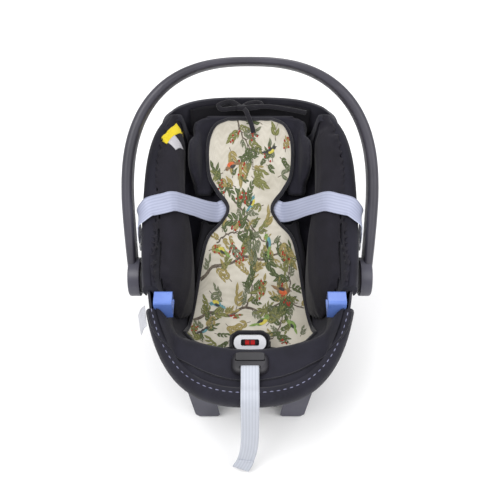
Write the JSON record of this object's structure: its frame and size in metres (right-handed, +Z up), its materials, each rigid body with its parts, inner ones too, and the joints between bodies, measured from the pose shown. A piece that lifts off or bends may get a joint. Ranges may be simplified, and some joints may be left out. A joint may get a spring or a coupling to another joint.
{
  "type": "infant car seat",
  "caption": "Rocking infant car seat shell with padded cover, sliding headrest, printed liner, harness and a swivelling carry handle",
  "frame": {"origin": "on the floor under the middle of the whole seat's box", "axes": "+X to the right seen from the foot end, +Y to the head end, +Z up"},
  "size_m": [0.442, 0.5783, 0.5003],
  "materials": {
    "shell": "fine grain",
    "rocker": "fine grain",
    "handle": "fine grain",
    "hub": "fine grain",
    "foam": "moulded foam",
    "cover": "plain woven",
    "insert": "plain woven",
    "liner": "printed cotton with a dark bound edge",
    "webbing": "ribbed webbing",
    "ribbon": "narrow tape",
    "guide": "smooth",
    "bezel": "fine grain",
    "white": "smooth",
    "red": "smooth",
    "black": "fine grain",
    "tag": "thin woven tape",
    "label": "printed tape",
    "steel": "zinc plated"
  },
  "bodies": {
    "root": {"seat_shell": "shell", "rocker_left": "rocker", "rocker_right": "rocker", "rocker_screw_foot_left": "steel", "rocker_screw_head_left": "steel", "rocker_screw_foot_right": "steel", "rocker_screw_head_right": "steel", "energy_foam": "foam", "seat_cover": "cover", "head_pocket_lining": "insert", "wing_pad_left": "cover", "wing_pad_right": "cover", "body_insert": "insert", "liner": "liner", "liner_tie": "ribbon", "lock_ring_left": "black", "lock_ring_right": "black", "pivot_pin_left": "steel", "pivot_pin_right": "steel", "button_spring_left": "steel", "button_spring_right": "steel", "belt_guide_left": "guide", "belt_guide_right": "guide", "rear_belt_guide": "guide", "buckle_body": "black", "buckle_frame": "white", "crotch_strap": "webbing", "crotch_pad": "insert", "adjuster_bezel": "bezel", "adjuster_strap": "webbing", "harness_strap_left": "webbing", "harness_strap_right": "webbing", "harness_tongue_left": "white", "harness_tongue_right": "white", "care_tag": "tag", "wing_label": "label"},
    "handle": {"handle_bar": "handle"},
    "button_left": {"handle_button_left": "hub", "lock_gear_left": "black"},
    "button_right": {"handle_button_right": "hub", "lock_gear_right": "black"},
    "headrest": {"headrest_pad": "cover", "headrest_plate": "black"},
    "lever": {"headrest_lever": "black"},
    "adjuster": {"adjuster_button": "black"},
    "release": {"buckle_button": "red"}
  },
  "joints": [
    {"name": "handle_swing", "type": "hinge", "parent": "root", "child": "handle", "pos_m": [0, -0.02, 0.205], "axis": [1, 0, 0], "range_deg": [-75, 41]},
    {"name": "button_left_press", "type": "slide", "parent": "handle", "child": "button_left", "axis": [1, 0, 0], "range_m": [0, 0.0045], "stiffness_N_per_m": 600, "springref_m": -0.003},
    {"name": "button_right_press", "type": "slide", "parent": "handle", "child": "button_right", "axis": [-1, 0, 0], "range_m": [0, 0.0045], "stiffness_N_per_m": 600, "springref_m": -0.003},
    {"name": "headrest_slide", "type": "slide", "parent": "root", "child": "headrest", "axis": [0, 0.7466, 0.6652], "range_m": [-0.034, 0]},
    {"name": "lever_pull", "type": "slide", "parent": "headrest", "child": "lever", "axis": [0, 0.7466, 0.6652], "range_m": [0, 0.004], "stiffness_N_per_m": 500, "springref_m": -0.003},
    {"name": "adjuster_press", "type": "slide", "parent": "root", "child": "adjuster", "axis": [0, 0, -1], "range_m": [0, 0.003], "stiffness_N_per_m": 800, "springref_m": -0.002},
    {"name": "buckle_press", "type": "slide", "parent": "root", "child": "release", "axis": [0, 0.6947, -0.7193], "range_m": [0, 0.004], "stiffness_N_per_m": 800, "springref_m": -0.002}
  ]
}
